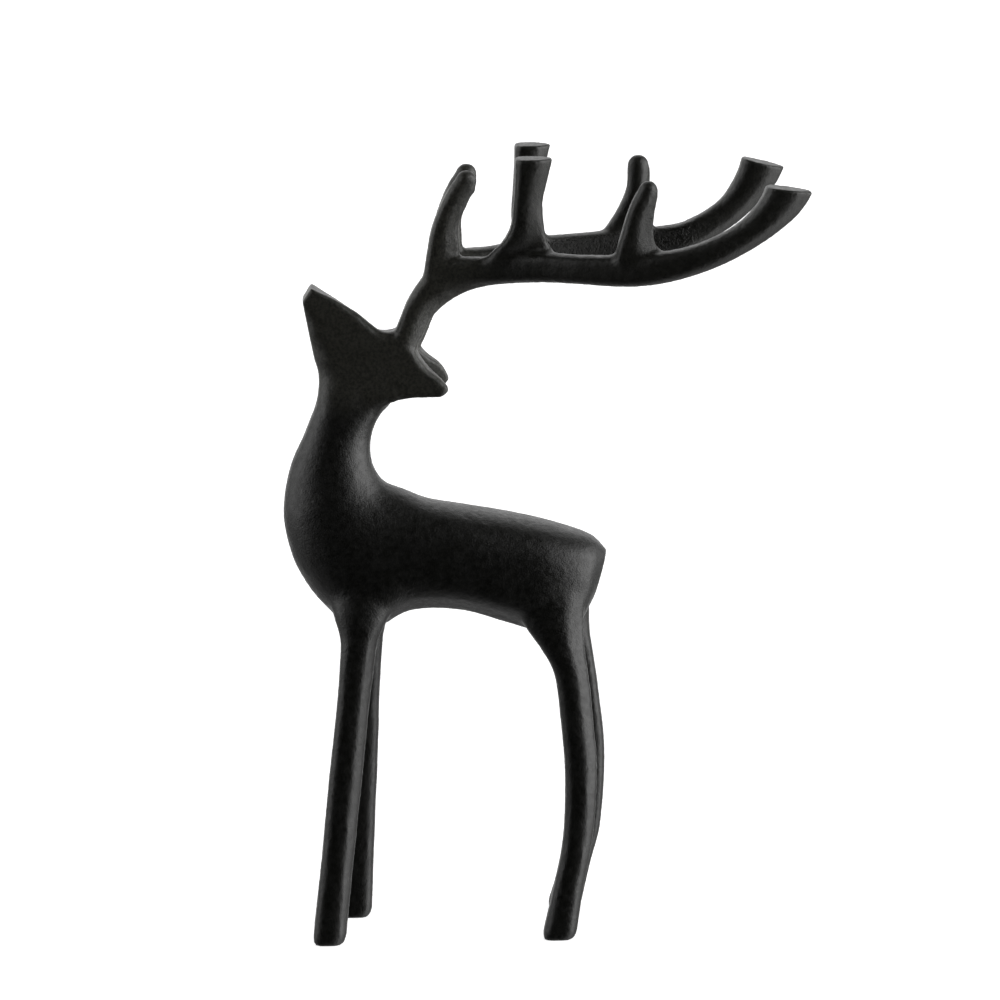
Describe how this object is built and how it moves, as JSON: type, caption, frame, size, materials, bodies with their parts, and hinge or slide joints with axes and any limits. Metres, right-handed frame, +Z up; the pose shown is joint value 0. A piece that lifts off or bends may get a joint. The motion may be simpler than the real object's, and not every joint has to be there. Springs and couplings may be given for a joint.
{
  "type": "cast iron stag statue",
  "caption": "Stylised standing stag cast in black iron, head thrown up, with long antlers that sweep back over the body.",
  "frame": {"origin": "on the ground under the middle of the statue's box", "axes": "+Z up along the legs, the head and chest face -X, +Y towards the far side"},
  "size_m": [0.199, 0.1012, 0.3],
  "materials": {
    "black_iron": "satin black paint over a fine pebbled casting skin"
  },
  "bodies": {
    "root": {"stag": "black_iron"}
  },
  "joints": []
}
